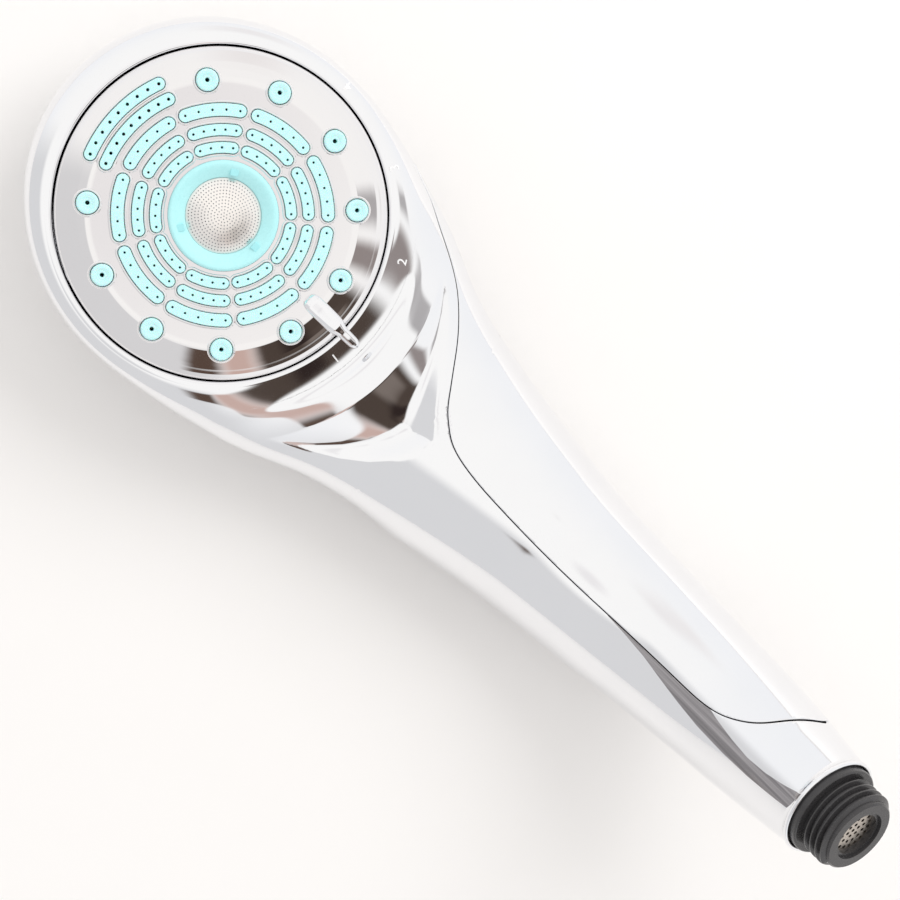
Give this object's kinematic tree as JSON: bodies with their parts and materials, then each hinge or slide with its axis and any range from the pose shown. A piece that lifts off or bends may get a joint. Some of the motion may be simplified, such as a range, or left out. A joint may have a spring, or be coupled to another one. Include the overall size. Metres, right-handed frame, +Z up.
{
  "type": "handheld shower head",
  "caption": "Chromed handheld shower head: egg-shaped head flowing into a bent handle, turning spray face with aqua nozzle pads and lever, and a black threaded hose inlet.",
  "frame": {"origin": "centre of the end face of the hose thread", "axes": "+Z up along the spray face's normal with the object lying on its back, +Y from the hose thread towards the head, +X across the face to the right as the face is seen with the head up"},
  "size_m": [0.0868, 0.2501, 0.084],
  "materials": {
    "chrome": "polished chrome plate",
    "aqua_silicone": "soft matt silicone",
    "aqua_plastic": "satin",
    "mist_steel": "warm satin steel",
    "black_plastic": "semi-gloss",
    "white_plastic": "moulded acetal",
    "grey_plastic": "moulded glass-filled plastic",
    "spring_steel": "bright",
    "black_rubber": "matt",
    "mesh_steel": "woven wire"
  },
  "bodies": {
    "handset": {"main_shell": "chrome", "side_cover": "chrome", "valve_body": "grey_plastic", "port_seal_cup": "black_rubber", "port_seal_spring": "spring_steel", "post_o_ring": "black_rubber", "click_spring": "spring_steel", "pivot_screw": "spring_steel", "pivot_washer": "spring_steel", "housing_screws": "spring_steel", "water_tube": "white_plastic", "tube_o_ring_upper": "black_rubber", "tube_o_ring_lower": "black_rubber", "bubble_nozzle": "white_plastic", "inlet_fitting": "black_plastic", "fitting_clip": "spring_steel", "inlet_strainer": "mesh_steel", "strainer_ring": "white_plastic"},
    "dial": {"face_plate": "chrome", "selector_lever": "chrome", "nozzle_mat": "aqua_silicone", "jet_nozzles": "aqua_silicone", "mist_ring": "aqua_plastic", "mist_dome": "mist_steel", "mist_core": "white_plastic", "spray_chamber": "white_plastic", "diverter_plate": "grey_plastic", "retaining_ring": "spring_steel"}
  },
  "joints": [
    {"name": "mode_dial", "type": "hinge", "parent": "handset", "child": "dial", "pos_m": [0, 0.19721, -0.03747], "axis": [0, 0, 1], "range_deg": [0, 90], "deforming": ["click_spring"]}
  ]
}
